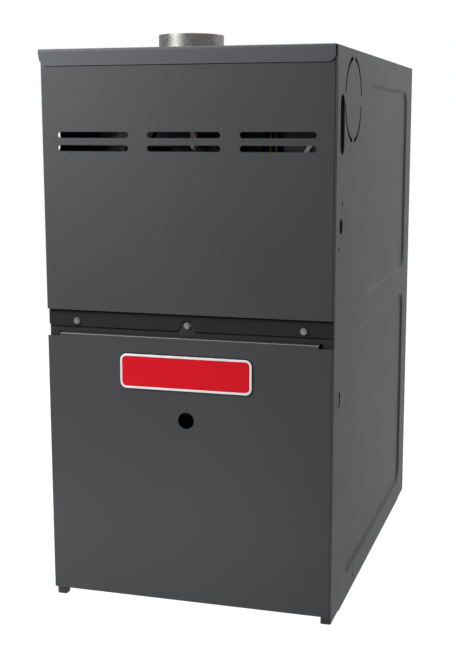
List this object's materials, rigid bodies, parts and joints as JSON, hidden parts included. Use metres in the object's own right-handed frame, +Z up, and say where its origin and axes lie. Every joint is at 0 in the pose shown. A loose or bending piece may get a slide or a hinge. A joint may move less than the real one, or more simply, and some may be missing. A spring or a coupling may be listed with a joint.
{
  "type": "forced air gas furnace",
  "caption": "Upright upflow gas furnace: folded steel cabinet with lift-off doors, leaning top lip, louvre slots, flue collar, tubular heat exchanger, burners and squirrel-cage blower.",
  "frame": {"origin": "middle of the footprint, on the floor", "axes": "+Z up, the doors face -Y, +X to the right of someone facing the doors"},
  "size_m": [0.445, 0.7209, 0.873],
  "materials": {
    "door_paint": "charcoal powder coat, satin, fine orange peel",
    "casing_paint": "charcoal-grey pre-painted sheet, satin",
    "deck_paint": "dark pre-painted sheet, satin, in shadow between the doors",
    "badge_enamel": "gloss red badge plate with a pale rim, bare of lettering",
    "galvanised": "hot-dip galvanised sheet with soft spangle",
    "aluminised": "aluminised steel, dull grey",
    "plated_screw": "zinc-plated steel",
    "motor_steel": "black-painted motor shell and laminations",
    "pipe_black": "black iron gas pipe",
    "cast_aluminium": "die-cast aluminium, matt",
    "black_plastic": "black moulded plastic",
    "red_plastic": "red moulded button plastic",
    "ceramic": "unglazed off-white ceramic",
    "black_rubber": "black silicone hose",
    "board_green": "green circuit board with dark components",
    "yellow_wire": "yellow wire insulation",
    "red_wire": "red wire insulation"
  },
  "bodies": {
    "root": {"base_pan": "galvanised", "blower_deck": "deck_paint", "blower_motor": "motor_steel", "blower_scroll": "galvanised", "blower_side_left": "galvanised", "blower_side_right": "galvanised", "burner_1": "aluminised", "burner_2": "aluminised", "burner_3": "aluminised", "burner_4": "aluminised", "burner_box": "aluminised", "casing_wrap": "casing_paint", "collector_box": "aluminised", "control_board": "board_green", "control_bracket": "galvanised", "deck_rail": "deck_paint", "deck_screw_left": "plated_screw", "deck_screw_middle": "plated_screw", "deck_screw_right": "plated_screw", "door_switch_body": "black_plastic", "flame_sensor": "ceramic", "flue_collar": "galvanised", "gas_manifold": "pipe_black", "gas_valve_body": "cast_aluminium", "heat_exchanger_tube_1": "aluminised", "heat_exchanger_tube_2": "aluminised", "heat_exchanger_tube_3": "aluminised", "heat_exchanger_tube_4": "aluminised", "igniter": "ceramic", "inducer_housing": "aluminised", "inducer_motor": "motor_steel", "junction_box": "galvanised", "junction_box_cover": "galvanised", "limit_switch": "cast_aluminium", "motor_mount": "plated_screw", "pressure_hose": "black_rubber", "pressure_switch": "black_plastic", "rollout_switch_left": "black_plastic", "rollout_switch_right": "black_plastic", "run_capacitor": "cast_aluminium", "top_panel": "door_paint", "transformer": "motor_steel", "tube_support": "galvanised", "vestibule_panel": "galvanised", "wire_loom": "black_plastic", "wire_red": "red_wire", "wire_yellow_1": "yellow_wire", "wire_yellow_2": "yellow_wire"},
    "upper_door": {"upper_door": "door_paint"},
    "lower_door": {"lower_door": "door_paint", "name_plate": "badge_enamel"},
    "blower_rotor": {"blower_wheel": "galvanised", "blower_shaft": "plated_screw"},
    "inducer_rotor": {"inducer_wheel": "aluminised", "inducer_shaft": "plated_screw", "inducer_cooling_fan": "black_plastic"},
    "gas_valve_knob": {"gas_valve_knob": "black_plastic"},
    "rollout_button_left": {"rollout_button_left": "red_plastic"},
    "rollout_button_right": {"rollout_button_right": "red_plastic"},
    "door_switch_plunger": {"door_switch_plunger": "red_plastic"}
  },
  "joints": [
    {"name": "upper_door_pull", "type": "slide", "parent": "root", "child": "upper_door", "axis": [0, -1, 0], "range_m": [0, 0.4]},
    {"name": "lower_door_pull", "type": "slide", "parent": "root", "child": "lower_door", "axis": [0, -1, 0], "range_m": [0, 0.4]},
    {"name": "door_switch_travel", "type": "slide", "parent": "root", "child": "door_switch_plunger", "axis": [0, -1, 0], "range_m": [0, 0.004]},
    {"name": "blower_spin", "type": "hinge", "parent": "root", "child": "blower_rotor", "pos_m": [0, 0.02, 0.24], "axis": [1, 0, 0], "continuous": true},
    {"name": "inducer_spin", "type": "hinge", "parent": "root", "child": "inducer_rotor", "pos_m": [0.0255, -0.2262, 0.735], "axis": [0, 1, 0], "continuous": true},
    {"name": "gas_valve_knob_turn", "type": "hinge", "parent": "root", "child": "gas_valve_knob", "pos_m": [0.172, -0.3254, 0.742], "axis": [0, 1, 0], "range_deg": [0, 90]},
    {"name": "rollout_reset_left", "type": "slide", "parent": "root", "child": "rollout_button_left", "axis": [0, 1, 0], "range_m": [0, 0.002], "stiffness_N_per_m": 300, "springref_m": -0.001},
    {"name": "rollout_reset_right", "type": "slide", "parent": "root", "child": "rollout_button_right", "axis": [0, 1, 0], "range_m": [0, 0.002], "stiffness_N_per_m": 300, "springref_m": -0.001}
  ],
  "couplings": [
    {"joint": "door_switch_travel", "follows": "lower_door_pull", "ratio": 0.01}
  ]
}
